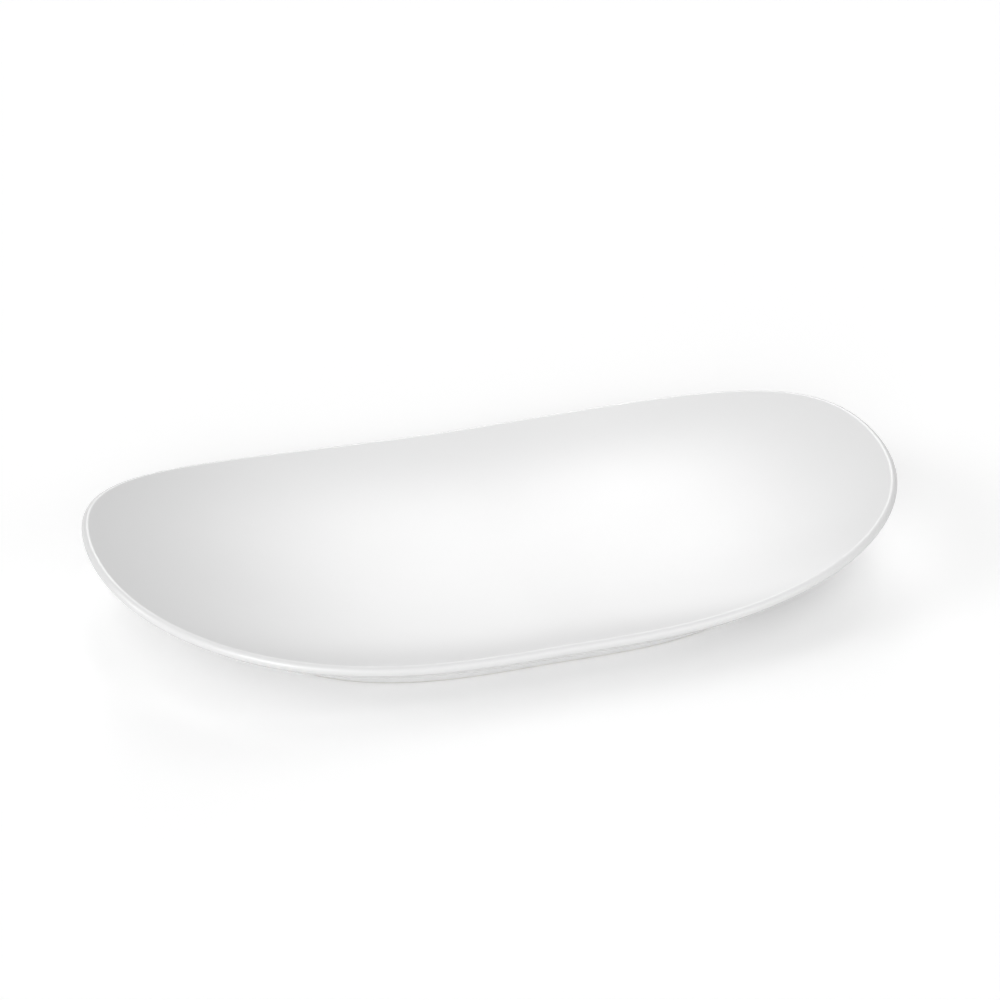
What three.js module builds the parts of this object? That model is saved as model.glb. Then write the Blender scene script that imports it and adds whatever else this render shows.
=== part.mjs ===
// An oval serving platter of glazed porcelain: a shallow shell with its two ends swept up, on an oval
// foot ring. Millimetres, +Z up, +X along the length, origin on the table below the middle.

import * as THREE from 'three';
import { mergeVertices } from 'three/addons/utils/BufferGeometryUtils.js';

// Overall sizes, measured over the glaze: tip to tip, across the middle, and up to the lip's crest
const LENGTH = 360;
const WIDTH = 202.4;
const SIDE_HEIGHT = 20;
const END_HEIGHT = 43.2;

// Wall, measured over the glaze on both faces, the extra wall at the heel where the belly turns into
// the foot, and the glaze itself
const LIP_THICKNESS = 4.4;
const FLOOR_THICKNESS = 4.5;
const HEEL_SWELL = 4.5;
const GLAZE_THICKNESS = 0.35;

// Foot ring: outline over the glaze where the glaze stops, and the flat bare land it stands on
const FOOT_LENGTH = 242.6;
const FOOT_WIDTH = 162;
const FOOT_LAND = 4;
const FOOT_ROUNDING = 0.7;
const FOOT_DRAFT = 1.2;
const FOOT_FILLET = 3.5;
const GLAZE_LINE = 0.8;
const BASE_RECESS = 4.5;

// Exponents of the form: how straight the oval's sides are and how full its shoulders, how late the rim
// sweeps up towards an end, and how late the floor turns up into the wall
const OVAL_SIDES = 2.7;
const OVAL_SHOULDERS = 1.2;
const RIM_SWEEP = 2.6;
const BOWL_TURN = 2.6;

// Facets
const FACETS_AROUND = 64;
const FOOD_STEPS = 8;
const LIP_STEPS = 5;
const BELLY_STEPS = 3;
const FILLET_STEPS = 3;
const BASE_STEPS = 3;

// Small steps that slopes are measured over, in millimetres and in radians
const SLOPE_STEP = 0.01;
const TURN_STEP = 0.001;

// Sizes that follow: the sheet halfway through the wall, which ends at the centre of the round lip
const lipRadius = LIP_THICKNESS / 2;
const sheetOval = [LENGTH / 2 - lipRadius, WIDTH / 2 - lipRadius];
const sheetFloor = BASE_RECESS + FLOOR_THICKNESS / 2;
const sideRise = SIDE_HEIGHT - lipRadius - sheetFloor;
const endRise = END_HEIGHT - lipRadius - sheetFloor;
const footThickness = FOOT_LAND + 2 * FOOT_ROUNDING + 2 * GLAZE_THICKNESS;

const FOOD = 1;
const UNDER = -1;
const OUTSIDE = 1;
const INSIDE = -1;
const BARE = GLAZE_THICKNESS;
const GLAZED = 0;

// Reach of the oval of unit half-axes in one direction
function reach(angle) {
  const fullness = Math.abs(Math.cos(angle)) ** OVAL_SIDES + Math.sin(angle) ** 2;
  return fullness ** (-1 / OVAL_SHOULDERS);
}

function ovalPoint([halfLength, halfWidth], angle) {
  const size = reach(angle);
  return [halfLength * size * Math.cos(angle), halfWidth * size * Math.sin(angle)];
}

function mixOvals(from, to, share) {
  return from.map((size, axis) => THREE.MathUtils.lerp(size, to[axis], share));
}

// Place of a plan point on the sheet: its share of the way out to the lip, and the lip's own rise there
function sheetPlace(x, y) {
  const across = x / sheetOval[0];
  const along = y / sheetOval[1];
  const angle = Math.atan2(along, across);
  const sweep = Math.abs(reach(angle) * Math.cos(angle)) ** RIM_SWEEP;
  return {
    share: Math.hypot(across, along) / reach(angle),
    rise: THREE.MathUtils.lerp(sideRise, endRise, sweep),
  };
}

function sheetHeight(x, y) {
  const { share, rise } = sheetPlace(x, y);
  return sheetFloor + rise * share ** BOWL_TURN;
}

function sheetNormal(x, y) {
  const slopeX = (sheetHeight(x + SLOPE_STEP, y) - sheetHeight(x - SLOPE_STEP, y)) / (2 * SLOPE_STEP);
  const slopeY = (sheetHeight(x, y + SLOPE_STEP) - sheetHeight(x, y - SLOPE_STEP)) / (2 * SLOPE_STEP);
  return new THREE.Vector3(-slopeX, -slopeY, 1).normalize();
}

// Swell of the underside, which is nothing at the middle and at the lip, and full at the heel between
function swell(share) {
  const fullAtHeel = 27 / 4;
  return HEEL_SWELL * fullAtHeel * share ** 4 * (1 - share ** 2);
}

// Point of a wall face above or below the sheet, sunk under the glazed face by an inset
function facePoint(x, y, face, inset) {
  const { share } = sheetPlace(x, y);
  const wall = THREE.MathUtils.lerp(FLOOR_THICKNESS, LIP_THICKNESS, share ** 2);
  const depth = wall / 2 + (face === UNDER ? swell(share) : 0) - inset;
  const point = new THREE.Vector3(x, y, sheetHeight(x, y));
  return point.addScaledVector(sheetNormal(x, y), face * depth);
}

// A ring is one closed row of points round the platter, and a pole is a row of one point
function ringOf(pointAt) {
  return Array.from({ length: FACETS_AROUND }, (_, i) => pointAt((i / FACETS_AROUND) * 2 * Math.PI));
}

function faceRing(oval, face, inset) {
  return ringOf((angle) => facePoint(...ovalPoint(oval, angle), face, inset));
}

function facePole(face, inset) {
  return [facePoint(0, 0, face, inset)];
}

function steps(count, make) {
  return Array.from({ length: count }, (_, i) => make((i + 1) / count));
}

// Food side from the middle out to where the lip begins to turn
function foodRings(inset) {
  const shares = steps(FOOD_STEPS, (share) => share).slice(0, -1);
  const rings = shares.map((share) => faceRing(sheetOval.map((size) => size * share), FOOD, inset));
  return [facePole(FOOD, inset), ...rings];
}

// Lip: a half round about the sheet's edge, from the food side over to the underside
function lipRing(turn, inset) {
  return ringOf((angle) => {
    const edgeAt = (a) => {
      const [x, y] = ovalPoint(sheetOval, a);
      return new THREE.Vector3(x, y, sheetHeight(x, y));
    };
    const edge = edgeAt(angle);
    const normal = sheetNormal(edge.x, edge.y);
    const along = edgeAt(angle + TURN_STEP).sub(edgeAt(angle - TURN_STEP));
    const outward = along.cross(normal).normalize();
    const radius = lipRadius - inset;
    edge.addScaledVector(normal, radius * Math.cos(turn));
    return edge.addScaledVector(outward, radius * Math.sin(turn));
  });
}

function lipRings(inset) {
  return [lipRing(0, inset), ...steps(LIP_STEPS, (share) => lipRing(share * Math.PI, inset))];
}

// Oval of a foot wall: the wall leans away from the land by an offset, and glaze thickens it
function footOval(side, offset, inset) {
  const edge = side === OUTSIDE ? 0 : -footThickness;
  return [FOOT_LENGTH, FOOT_WIDTH].map((size) => size / 2 + edge + side * (offset - inset));
}

function filletOval(side) {
  return footOval(side, FOOT_DRAFT + FOOT_FILLET, GLAZED);
}

// Belly from the lip down to the foot's outer fillet, and the base inside its inner fillet
function bellyRings(inset) {
  return steps(BELLY_STEPS, (share) => faceRing(mixOvals(sheetOval, filletOval(OUTSIDE), share), UNDER, inset));
}

function baseRings(inset) {
  const shares = steps(BASE_STEPS, (share) => 1 - share).slice(0, -1);
  const rings = shares.map((share) => faceRing(filletOval(INSIDE).map((size) => size * share), UNDER, inset));
  return [...rings, facePole(UNDER, inset)];
}

// Foot wall from its fillet on the underside down to the glaze line
function footWallRings(side, inset) {
  const wallOval = footOval(side, FOOT_DRAFT, inset);
  const fillet = steps(FILLET_STEPS, (share) => ringOf((angle) => {
    const start = facePoint(...ovalPoint(filletOval(side), angle), UNDER, inset);
    const [x, y] = ovalPoint(wallOval, angle);
    const corner = new THREE.Vector3(x, y, facePoint(x, y, UNDER, inset).z);
    const end = corner.clone().setZ(corner.z - FOOT_FILLET);
    return new THREE.QuadraticBezierCurve3(start, corner, end).getPoint(share);
  }));
  return [...fillet, wallRing(side, 0, GLAZE_LINE, inset)];
}

// Level ring on a foot wall
function wallRing(side, offset, height, inset) {
  return ringOf((angle) => new THREE.Vector3(...ovalPoint(footOval(side, offset, inset), angle), height));
}

// Bare edge beside the land: a quarter round from the glaze line down to the table
function footEdgeRings(side) {
  return [Math.PI / 4, Math.PI / 2].map((turn) => wallRing(
    side,
    -FOOT_ROUNDING * (1 - Math.cos(turn)),
    GLAZE_LINE * (1 - Math.sin(turn)),
    BARE,
  ));
}

// The shell's face from the middle of the food side, over the lip and down to the foot
function coatRings(inset) {
  return [...foodRings(inset), ...lipRings(inset), ...bellyRings(inset)];
}

// Corners of the triangles between neighbouring rings, seen from outside the rings' path or from within
function bandCorners(rings, seenFromWithin = false) {
  const corners = [];
  const triangle = (a, b, c) => corners.push(...(seenFromWithin ? [a, c, b] : [a, b, c]));
  for (let row = 0; row + 1 < rings.length; row++) {
    const [upper, lower] = [rings[row], rings[row + 1]];
    for (let i = 0; i < FACETS_AROUND; i++) {
      const next = (i + 1) % FACETS_AROUND;
      if (lower.length > 1) triangle(upper[i % upper.length], lower[i], lower[next]);
      if (upper.length > 1) triangle(upper[i], lower[next % lower.length], upper[next]);
    }
  }
  return corners;
}

function piece(name, corners, material) {
  const geometry = new THREE.BufferGeometry().setFromPoints(corners);
  const mesh = new THREE.Mesh(mergeVertices(geometry), material);
  mesh.geometry.computeVertexNormals();
  mesh.name = name;
  return mesh;
}

// Fired porcelain shell
function porcelainBody() {
  const rings = [...coatRings(BARE), faceRing(filletOval(INSIDE), UNDER, BARE), ...baseRings(BARE)];
  const biscuit = new THREE.MeshStandardMaterial({ color: '#f1efe9', roughness: 0.75, metalness: 0 });
  return piece('porcelain_body', bandCorners(rings), biscuit);
}

// Foot ring, seated on the underside of the shell between its two fillets
function footRing() {
  const seat = [faceRing(filletOval(OUTSIDE), UNDER, BARE), faceRing(filletOval(INSIDE), UNDER, BARE)];
  const walls = [
    seat[0],
    ...footWallRings(OUTSIDE, BARE),
    ...footEdgeRings(OUTSIDE),
    ...footEdgeRings(INSIDE).reverse(),
    ...footWallRings(INSIDE, BARE).reverse(),
  ];
  const bareFoot = new THREE.MeshStandardMaterial({ color: '#ece8df', roughness: 0.85, metalness: 0 });
  return piece('foot_ring', [...bandCorners(seat, true), ...bandCorners([...walls, seat[1]])], bareFoot);
}

// Glaze over the food side, the lip, the belly and the outer wall of the foot
function glazeCoat() {
  const outer = [...coatRings(GLAZED), ...footWallRings(OUTSIDE, GLAZED)];
  const inner = [...coatRings(BARE), ...footWallRings(OUTSIDE, BARE)];
  const corners = [...bandCorners([...outer, inner.at(-1)]), ...bandCorners(inner, true)];
  const glaze = new THREE.MeshStandardMaterial({ color: '#f7f7f5', roughness: 0.08, metalness: 0 });
  return piece('glaze_coat', corners, glaze);
}

// Glaze over the recessed base and the inner wall of the foot
function baseGlaze() {
  const skin = (inset) => [
    ...footWallRings(INSIDE, inset).reverse(),
    faceRing(filletOval(INSIDE), UNDER, inset),
    ...baseRings(inset),
  ];
  const [outer, inner] = [skin(GLAZED), skin(BARE)];
  const corners = [...bandCorners([inner[0], ...outer]), ...bandCorners(inner, true)];
  const glaze = new THREE.MeshStandardMaterial({ color: '#f4f4f1', roughness: 0.12, metalness: 0 });
  return piece('base_glaze', corners, glaze);
}

const platter = new THREE.Group();
platter.add(porcelainBody(), footRing(), glazeCoat(), baseGlaze());

export default platter;
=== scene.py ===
# An oval white porcelain serving platter with swept-up ends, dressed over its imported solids.
# Metres, +Z up, +X along the length, +Y across it to the far side, origin on the table below the middle.
import math

import bpy
import numpy as np
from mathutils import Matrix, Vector


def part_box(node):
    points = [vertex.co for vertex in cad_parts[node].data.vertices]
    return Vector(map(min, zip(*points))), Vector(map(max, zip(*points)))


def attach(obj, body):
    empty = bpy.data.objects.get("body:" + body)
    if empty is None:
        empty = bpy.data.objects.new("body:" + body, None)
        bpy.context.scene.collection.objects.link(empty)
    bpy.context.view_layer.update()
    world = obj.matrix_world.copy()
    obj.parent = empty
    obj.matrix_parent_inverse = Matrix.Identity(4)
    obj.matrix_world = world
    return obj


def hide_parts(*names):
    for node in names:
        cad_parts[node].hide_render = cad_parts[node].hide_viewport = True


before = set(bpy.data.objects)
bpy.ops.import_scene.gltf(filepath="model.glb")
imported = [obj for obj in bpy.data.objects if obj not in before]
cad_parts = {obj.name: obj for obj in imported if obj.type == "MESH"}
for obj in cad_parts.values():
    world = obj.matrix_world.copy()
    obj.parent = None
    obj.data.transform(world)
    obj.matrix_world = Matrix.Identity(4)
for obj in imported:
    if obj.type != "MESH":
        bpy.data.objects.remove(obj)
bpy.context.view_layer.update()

# Porcelain body: floor, wall and round lip in one sheet of white porcelain, cast in a mould and
# fired hard. Glaze covers all of it, so in a whole platter it shows nowhere.
MM = 0.001
lip_radius = 2.2 * MM
floor_thickness = 4.5 * MM
heel_swell = 4.5 * MM
glaze_thickness = 0.35 * MM
side_height = 20 * MM
base_recess = 4.5 * MM
oval_sides = 2.7
oval_shoulders = 1.2
rim_sweep = 2.6
bowl_turn = 2.6

facets_around = 360
food_steps = 72
lip_steps = 20
belly_steps = 28
base_steps = 24
crease_angle = math.radians(50)
slope_step = 0.01 * MM
turn_step = 0.001
turns = np.arange(facets_around) / facets_around * 2 * np.pi
FOOD, UNDER = 1, -1
BARE, GLAZED = glaze_thickness, 0.0


def reach(turn):
    return (np.abs(np.cos(turn)) ** oval_sides + np.sin(turn) ** 2) ** (-1 / oval_shoulders)


# The sheet halfway through the wall, which ends at the centre of the round lip
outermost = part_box("glaze_coat")[1]
fullest = (reach(turns) * np.sin(turns)).max()
sheet_oval = np.array([outermost.x - lip_radius, (outermost.y - lip_radius) / fullest])
sheet_floor = base_recess + floor_thickness / 2
side_rise = side_height - lip_radius - sheet_floor
end_rise = outermost.z - lip_radius - sheet_floor


def oval(half_axes, turn=turns):
    size = reach(turn)
    return half_axes[0] * size * np.cos(turn), half_axes[1] * size * np.sin(turn)


def sheet_place(x, y):
    across = x / sheet_oval[0]
    along = y / sheet_oval[1]
    turn = np.arctan2(along, across)
    sweep = np.abs(reach(turn) * np.cos(turn)) ** rim_sweep
    share = np.hypot(across, along) / reach(turn)
    return share, side_rise + (end_rise - side_rise) * sweep


def sheet_point(x, y):
    share, rise = sheet_place(x, y)
    return np.stack([x, y, sheet_floor + rise * share ** bowl_turn], axis=-1)


def unit(vectors):
    return vectors / np.linalg.norm(vectors, axis=-1, keepdims=True)


def sheet_normal(x, y):
    along_x = sheet_point(x + slope_step, y) - sheet_point(x - slope_step, y)
    along_y = sheet_point(x, y + slope_step) - sheet_point(x, y - slope_step)
    return unit(np.cross(along_x, along_y))


def face_ring(half_axes, face, inset):
    x, y = oval(half_axes)
    share, _ = sheet_place(x, y)
    depth = floor_thickness / 2 + (lip_radius - floor_thickness / 2) * share ** 2 - inset
    if face == UNDER:
        full_at_heel = 27 / 4
        depth += heel_swell * full_at_heel * share ** 4 * (1 - share ** 2)
    return sheet_point(x, y) + face * depth[:, None] * sheet_normal(x, y)


# The lip is a half round about the sheet's edge, from the food side over to the underside
def lip_ring(roll, inset):
    x, y = oval(sheet_oval)
    normal = sheet_normal(x, y)
    ahead = sheet_point(*oval(sheet_oval, turns + turn_step))
    behind = sheet_point(*oval(sheet_oval, turns - turn_step))
    outward = unit(np.cross(ahead - behind, normal))
    return sheet_point(x, y) + (lip_radius - inset) * (normal * math.cos(roll) + outward * math.sin(roll))


def shares(steps):
    return np.arange(1, steps + 1) / steps


def pole(face, inset):
    return np.array([[0, 0, sheet_floor + face * (floor_thickness / 2 - inset)]])


def food_and_lip_rings(inset):
    towards_lip = 1.6
    spread = 1 - (1 - shares(food_steps)) ** towards_lip
    food = [face_ring(sheet_oval * share, FOOD, inset) for share in spread[:-1]]
    rolls = np.linspace(0, math.pi, lip_steps + 1)
    return [pole(FOOD, inset)] + food + [lip_ring(roll, inset) for roll in rolls]


# Foot sizes that the body's underside follows: the foot's outline where the glaze stops, the lean of
# its walls and the fillet under the shell
foot_outline = np.array([242.6, 162]) / 2 * MM
foot_land = 4 * MM
foot_rounding = 0.7 * MM
foot_draft = 1.2 * MM
foot_fillet = 3.5 * MM
foot_thickness = foot_land + 2 * foot_rounding + 2 * glaze_thickness
OUTSIDE, INSIDE = 1, -1


def foot_oval(side, offset, inset):
    edge = 0 if side == OUTSIDE else -foot_thickness
    return foot_outline + edge + side * (offset - inset)


def fillet_oval(side):
    return foot_oval(side, foot_draft + foot_fillet, GLAZED)


def belly_rings(inset):
    inwards = fillet_oval(OUTSIDE) - sheet_oval
    return [face_ring(sheet_oval + inwards * share, UNDER, inset) for share in shares(belly_steps)]


def base_rings(inset):
    outer = fillet_oval(INSIDE)
    rings = [face_ring(outer * (1 - share), UNDER, inset) for share in shares(base_steps)[:-1]]
    return [face_ring(outer, UNDER, inset)] + rings + [pole(UNDER, inset)]


def loft(name, rings, round_again=False):
    """A mesh through rings of points. A ring of one point closes the surface there."""
    starts = np.cumsum([0] + [len(ring) for ring in rings])
    rows = list(range(len(rings)))
    pairs = list(zip(rows, rows[1:] + rows[:1])) if round_again else list(zip(rows, rows[1:]))
    faces = []
    for upper, lower in pairs:
        for i in range(facets_around):
            corners = [
                starts[upper] + i % len(rings[upper]),
                starts[lower] + i % len(rings[lower]),
                starts[lower] + (i + 1) % facets_around % len(rings[lower]),
                starts[upper] + (i + 1) % facets_around % len(rings[upper]),
            ]
            faces.append(list(dict.fromkeys(int(corner) for corner in corners)))
    mesh = bpy.data.meshes.new(name)
    mesh.from_pydata(np.concatenate(rings).tolist(), [], faces)
    mesh.shade_smooth()
    mesh.set_sharp_from_angle(angle=crease_angle)
    piece = bpy.data.objects.new(name, mesh)
    bpy.context.scene.collection.objects.link(piece)
    return piece


def linear(hex_colour):
    channels = [int(hex_colour[i:i + 2], 16) / 255 for i in (1, 3, 5)]
    return [c / 12.92 if c <= 0.04045 else ((c + 0.055) / 1.055) ** 2.4 for c in channels] + [1]


def add_node(material, kind, inputs, **settings):
    """Adds a node. An input that is a socket is linked, and any other is set."""
    node = material.node_tree.nodes.new(kind)
    for name, value in settings.items():
        setattr(node, name, value)
    for name, value in inputs.items():
        if isinstance(value, bpy.types.NodeSocket):
            material.node_tree.links.new(value, node.inputs[name])
        else:
            node.inputs[name].default_value = value
    return node


def new_material(name):
    material = bpy.data.materials.new(name)
    material.use_nodes = True
    material.node_tree.nodes.clear()
    return material


# The colour sockets of a mix node share their names with its other kinds, so they go by number
FIRST, SECOND, MIXED = 6, 7, 2

# Fired porcelain without glaze: close, hard and matt, a warm white with a fine tooth to it
biscuit_grain = 1.5 * MM
biscuit = new_material("fired_porcelain")
place = add_node(biscuit, "ShaderNodeTexCoord", {}).outputs["Object"]
grain = add_node(biscuit, "ShaderNodeTexNoise", {"Vector": place, "Scale": 1 / biscuit_grain, "Detail": 3})
tints = {"Factor": grain.outputs["Fac"], FIRST: linear("#efede6"), SECOND: linear("#f3f1eb")}
tint = add_node(biscuit, "ShaderNodeMix", tints, data_type="RGBA").outputs[MIXED]
tooth = add_node(biscuit, "ShaderNodeBump", {"Height": grain.outputs["Fac"], "Distance": 0.02 * MM})
surface = add_node(biscuit, "ShaderNodeBsdfPrincipled", {
    "Base Color": tint,
    "Roughness": 0.75,
    "Normal": tooth.outputs["Normal"],
})
add_node(biscuit, "ShaderNodeOutputMaterial", {"Surface": surface.outputs["BSDF"]})

porcelain_body = loft("porcelain_shell", food_and_lip_rings(BARE) + belly_rings(BARE) + base_rings(BARE))
porcelain_body.data.materials.append(biscuit)
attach(porcelain_body, "root")
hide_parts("porcelain_body")

# Foot ring: the oval foot of the same porcelain, luted to the underside of the shell before firing.
# Its land is wiped clean of glaze so that it doesn't stick in the kiln, and then rubbed smooth.
glaze_line = 0.8 * MM
fillet_steps = 10
wall_steps = 4
edge_steps = 6


def level_ring(half_axes, height):
    x, y = oval(half_axes)
    return np.stack([x, y, np.full_like(x, height)], axis=-1)


def foot_wall_rings(side, inset):
    start = face_ring(fillet_oval(side), UNDER, inset)
    corner = face_ring(foot_oval(side, foot_draft, inset), UNDER, inset)
    wall_x, wall_y = oval(foot_oval(side, foot_draft, inset))
    corner = np.stack([wall_x, wall_y, corner[:, 2]], axis=-1)
    end = corner - np.array([0, 0, foot_fillet])
    rings = []
    for share in shares(fillet_steps):
        rings.append((1 - share) ** 2 * start + 2 * share * (1 - share) * corner + share ** 2 * end)
    foot = level_ring(foot_oval(side, 0, inset), glaze_line)
    return rings + [end + (foot - end) * share for share in shares(wall_steps)]


def foot_edge_rings(side):
    rings = []
    for turn in shares(edge_steps) * math.pi / 2:
        lean = -foot_rounding * (1 - math.cos(turn))
        rings.append(level_ring(foot_oval(side, lean, BARE), glaze_line * (1 - math.sin(turn))))
    return rings


# Bare ground porcelain: matt and slightly warm, with grit drawn coarser than its real 0.1 mm so that it
# shows, and grey rub marks where the foot has stood
grit = 0.6 * MM
rub_marks = 9 * MM
bare = new_material("bare_ground_porcelain")
place = add_node(bare, "ShaderNodeTexCoord", {}).outputs["Object"]
grains = add_node(bare, "ShaderNodeTexNoise", {"Vector": place, "Scale": 1 / grit, "Detail": 4})
rubs = add_node(bare, "ShaderNodeTexNoise", {"Vector": place, "Scale": 1 / rub_marks, "Detail": 6})
rub_range = {"Value": rubs.outputs["Fac"], "From Min": 0.5, "From Max": 0.75}
rubbed = add_node(bare, "ShaderNodeMapRange", rub_range)
tints = {"Factor": grains.outputs["Fac"], FIRST: linear("#e6e4e0"), SECOND: linear("#f0efec")}
clean = add_node(bare, "ShaderNodeMix", tints, data_type="RGBA").outputs[MIXED]
tints = {"Factor": rubbed.outputs["Result"], FIRST: clean, SECOND: linear("#d6d4d0")}
worn = add_node(bare, "ShaderNodeMix", tints, data_type="RGBA").outputs[MIXED]
tooth = add_node(bare, "ShaderNodeBump", {"Height": grains.outputs["Fac"], "Distance": 0.05 * MM})
surface = add_node(bare, "ShaderNodeBsdfPrincipled", {
    "Base Color": worn,
    "Roughness": 0.85,
    "Normal": tooth.outputs["Normal"],
})
add_node(bare, "ShaderNodeOutputMaterial", {"Surface": surface.outputs["BSDF"]})

foot_rings = [face_ring(fillet_oval(OUTSIDE), UNDER, BARE)] + foot_wall_rings(OUTSIDE, BARE)
foot_rings += foot_edge_rings(OUTSIDE) + foot_edge_rings(INSIDE)[::-1]
foot_rings += foot_wall_rings(INSIDE, BARE)[::-1] + [face_ring(fillet_oval(INSIDE), UNDER, BARE)]
foot_ring = loft("oval_foot", foot_rings, round_again=True)
foot_ring.data.materials.append(bare)
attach(foot_ring, "root")
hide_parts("foot_ring")

# Glaze coat: a clear glass skin, dipped on and melted to the porcelain over the food side, the lip and
# the outside. It ends in a soft bead just above the foot's land.
bead_steps = 6
steps_to_bead = 2


def bead_rings(side):
    rings = []
    for turn in shares(bead_steps)[:-1] * math.pi / 2:
        inset = glaze_thickness * (1 - math.cos(turn))
        height = glaze_line + glaze_thickness * (1 - math.sin(turn))
        rings.append(level_ring(foot_oval(side, 0, inset), height))
    return rings


def glazed_wall_rings(side):
    rings = foot_wall_rings(side, GLAZED)[:-1]
    last = rings[-1]
    bead_top = level_ring(foot_oval(side, 0, GLAZED), glaze_line + glaze_thickness)
    rings += [last + (bead_top - last) * share for share in shares(steps_to_bead)]
    return rings + bead_rings(side)


# Glossy glaze over white porcelain: the white shows through clear glass, with a bright even gloss, a
# very faint ripple where the glaze flowed and a hardly visible mottle where it lies thicker
ripple = 14 * MM
mottle = 45 * MM
glaze = new_material("glossy_porcelain_glaze")
place = add_node(glaze, "ShaderNodeTexCoord", {}).outputs["Object"]
pooling = add_node(glaze, "ShaderNodeTexNoise", {"Vector": place, "Scale": 1 / mottle, "Detail": 3})
flow = add_node(glaze, "ShaderNodeTexNoise", {"Vector": place, "Scale": 1 / ripple, "Detail": 1})
tints = {"Factor": pooling.outputs["Fac"], FIRST: linear("#f6f6f6"), SECOND: linear("#f4f4f4")}
white = add_node(glaze, "ShaderNodeMix", tints, data_type="RGBA").outputs[MIXED]
gloss_range = {"Value": pooling.outputs["Fac"], "To Min": 0.12, "To Max": 0.18}
gloss = add_node(glaze, "ShaderNodeMapRange", gloss_range)
wave = add_node(glaze, "ShaderNodeBump", {"Height": flow.outputs["Fac"], "Distance": 0.02 * MM})
surface = add_node(glaze, "ShaderNodeBsdfPrincipled", {
    "Base Color": white,
    "Roughness": gloss.outputs["Result"],
    "IOR": 1.5,
    "Normal": wave.outputs["Normal"],
})
add_node(glaze, "ShaderNodeOutputMaterial", {"Surface": surface.outputs["BSDF"]})

coat_outside = food_and_lip_rings(GLAZED) + belly_rings(GLAZED) + glazed_wall_rings(OUTSIDE)
coat_inside = food_and_lip_rings(BARE) + belly_rings(BARE) + foot_wall_rings(OUTSIDE, BARE)
glaze_coat = loft("glaze_skin", coat_outside + coat_inside[::-1])
glaze_coat.data.materials.append(glaze)
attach(glaze_coat, "root")
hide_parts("glaze_coat")

# Base glaze: the same glass skin on the recessed base and the inner wall of the foot, parted from the
# main coat by the foot's bare land.
base_outside = glazed_wall_rings(INSIDE)[::-1] + base_rings(GLAZED)
base_inside = foot_wall_rings(INSIDE, BARE)[::-1] + base_rings(BARE)
base_glaze = loft("base_glaze_skin", base_inside[::-1] + base_outside)
base_glaze.data.materials.append(glaze)
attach(base_glaze, "root")
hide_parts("base_glaze")

# Studio table: a broad sheet of matt white card under the platter. To the eye, and in what the glaze
# mirrors, it is lifted to plain white, less so close around the platter, where the soft shadow that the
# lamps cast stays and a painted shadow is laid over it.
card_size = 8000 * MM
card_gap = 0.05 * MM
card_fibre = 2 * MM
card_lift = 0.415
shadow_depth = 0.7
shadow_reach = 28 * MM


def seen_rays(owner):
    """1 for rays that show the background: straight to the camera, or mirrored, or through glass."""
    path = add_node(owner, "ShaderNodeLightPath", {}).outputs
    inputs = {0: path["Is Camera Ray"], 1: path["Is Glossy Ray"]}
    seen = add_node(owner, "ShaderNodeMath", inputs).outputs[0]
    inputs = {0: seen, 1: path["Is Transmission Ray"]}
    return add_node(owner, "ShaderNodeMath", inputs, use_clamp=True).outputs[0]


card = new_material("matt_white_card")
place = add_node(card, "ShaderNodeTexCoord", {}).outputs["Object"]
fibre = add_node(card, "ShaderNodeTexNoise", {"Vector": place, "Scale": 1 / card_fibre, "Detail": 2})
tints = {"Factor": fibre.outputs["Fac"], FIRST: linear("#ececec"), SECOND: linear("#eeeeee")}
white = add_node(card, "ShaderNodeMix", tints, data_type="RGBA").outputs[MIXED]
matt = add_node(card, "ShaderNodeBsdfDiffuse", {"Color": white}).outputs["BSDF"]
# Painted shadow: the white lift is dimmed where the platter closes the card in within shadow_reach, by at
# most shadow_depth
painted_shadow_mask = add_node(card, "ShaderNodeAmbientOcclusion", {"Distance": shadow_reach}, samples=8).outputs["Color"]
painted_shadow_mix_inputs = {"Factor": shadow_depth, FIRST: linear("#ffffff"), SECOND: painted_shadow_mask}
painted_halo_shadow = add_node(card, "ShaderNodeMix", painted_shadow_mix_inputs, data_type="RGBA").outputs[MIXED]
lift = add_node(card, "ShaderNodeEmission", {"Color": painted_halo_shadow, "Strength": card_lift}).outputs["Emission"]
lifted = add_node(card, "ShaderNodeAddShader", {0: matt, 1: lift}).outputs["Shader"]
shown = add_node(card, "ShaderNodeMixShader", {0: seen_rays(card), 1: matt, 2: lifted}).outputs["Shader"]
add_node(card, "ShaderNodeOutputMaterial", {"Surface": shown})
edge = card_size / 2
corners = [(x * edge, y * edge, -card_gap) for x, y in ((-1, -1), (1, -1), (1, 1), (-1, 1))]
table = bpy.data.meshes.new("card_table")
table.from_pydata(corners, [], [(0, 1, 2, 3)])
table.materials.append(card)
card_table = bpy.data.objects.new("card_table", table)
bpy.context.scene.collection.objects.link(card_table)

# Studio light: a room that shows plain white behind the table, with soft round glows in it for lamps. Three
# stand low around the front, one is high at the right, and a bank at the back is mirrored in the well.
room = bpy.data.worlds.new("white_room")
bpy.context.scene.world = room
room.use_nodes = True
room.node_tree.nodes.clear()
towards = add_node(room, "ShaderNodeTexCoord", {}).outputs["Generated"]


def direction(azimuth, elevation):
    """The way out to a place, in degrees. Azimuth 0 is on the near side, and 90 at the right end."""
    around = math.radians(azimuth)
    up = math.radians(elevation)
    return Vector((math.sin(around) * math.cos(up), -math.cos(around) * math.cos(up), math.sin(up)))


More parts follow.
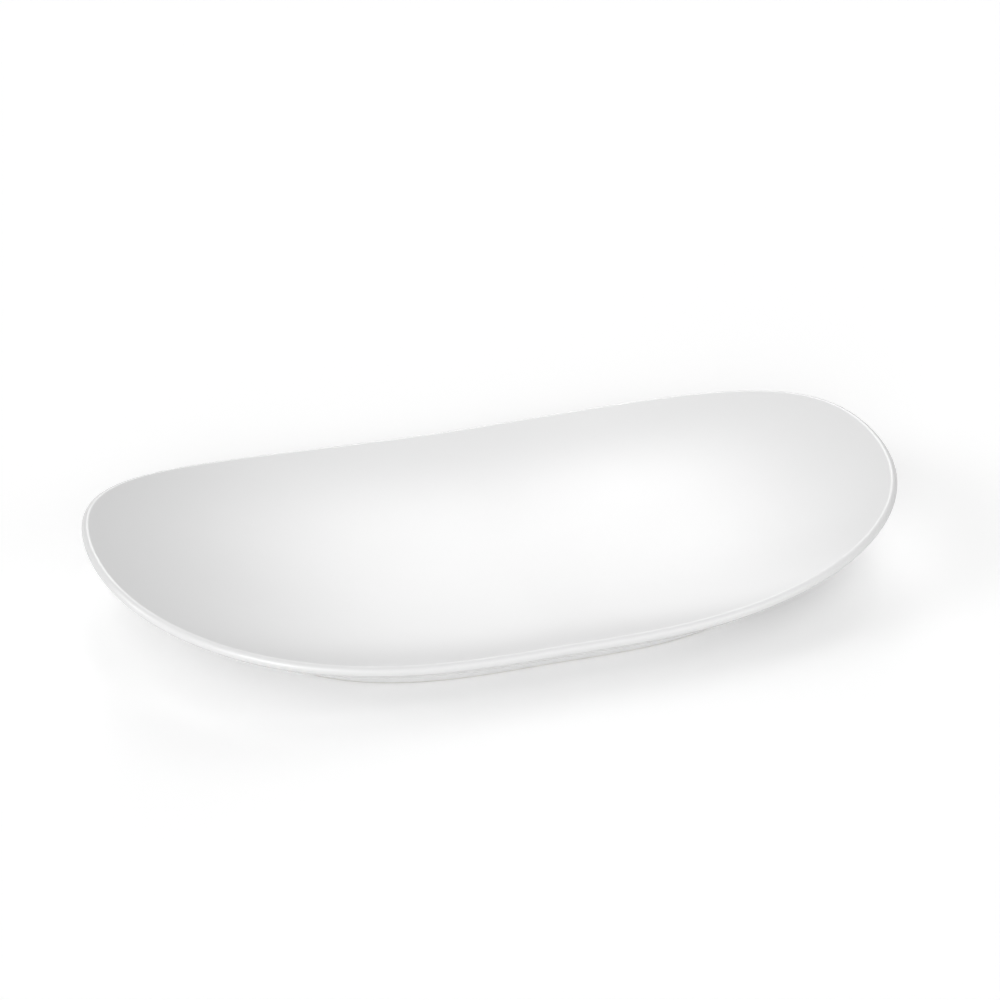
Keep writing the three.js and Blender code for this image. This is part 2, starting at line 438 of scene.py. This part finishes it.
def add_lamp(light, name, azimuth, elevation, spread, strength):
    """Adds a glow to the light. It fades with its angle from the lamp, over the spread in degrees."""
    lamp = direction(azimuth, elevation)
    narrow = 1 / math.radians(spread) ** 2
    facing = add_node(room, "ShaderNodeVectorMath", {0: towards, 1: lamp}, operation="DOT_PRODUCT")
    inputs = {0: facing.outputs["Value"], 1: narrow, 2: -narrow}
    fade = add_node(room, "ShaderNodeMath", inputs, operation="MULTIPLY_ADD")
    glow = add_node(room, "ShaderNodeMath", {0: fade.outputs[0]}, operation="EXPONENT")
    inputs = {0: glow.outputs[0], 1: strength, 2: light}
    return add_node(room, "ShaderNodeMath", inputs, operation="MULTIPLY_ADD", name=name).outputs[0]


light = seen_rays(room)
light = add_lamp(light, "left_lamp", 262, 26, 10, 5.1)
light = add_lamp(light, "front_lamp", 338, 24, 11, 7.1)
light = add_lamp(light, "right_lamp", 27, 26, 10, 2.7)
light = add_lamp(light, "high_right_lamp", 40, 62, 10, 1.6)
light = add_lamp(light, "back_lamp_high", 160, 62, 10, 1.2)
light = add_lamp(light, "back_lamp_upper_right", 157.5, 45, 7.5, 1.25)
light = add_lamp(light, "back_lamp_upper_middle", 167, 44, 5, 0.6)
light = add_lamp(light, "back_lamp_upper_left", 172, 38, 7.5, 2.6)
light = add_lamp(light, "back_lamp_middle", 162, 30, 7.5, 2.2)
light = add_lamp(light, "back_lamp_low", 165, 16, 7.5, 1.6)
shine = add_node(room, "ShaderNodeBackground", {"Color": linear("#ffffff"), "Strength": light})
add_node(room, "ShaderNodeOutputWorld", {"Surface": shine.outputs["Background"]})

# Camera: a long lens at the left front that looks down into the well, placed where the outline of the rim
# fits the photographed one.
aim = Vector((0, 0, side_height))
camera_azimuth = -17.43
camera_elevation = 29.27
camera_distance = 1300 * MM
picture = 1000
pixels_per_mm = 2.276
focal_pixels = pixels_per_mm * camera_distance / MM
aim_pixel = (495.4, 533.1)
back = direction(camera_azimuth, camera_elevation)
lens = bpy.data.cameras.new("camera")
lens.sensor_width = 36
lens.lens = lens.sensor_width * focal_pixels / picture
lens.shift_x = (picture / 2 - aim_pixel[0]) / picture
lens.shift_y = (aim_pixel[1] - picture / 2) / picture
camera = bpy.data.objects.new("camera", lens)
camera.location = aim + back * camera_distance
camera.rotation_mode = "QUATERNION"
camera.rotation_quaternion = back.to_track_quat("Z", "Y")
bpy.context.scene.collection.objects.link(camera)
bpy.context.scene.camera = camera
bpy.context.scene.view_settings.view_transform = "Standard"
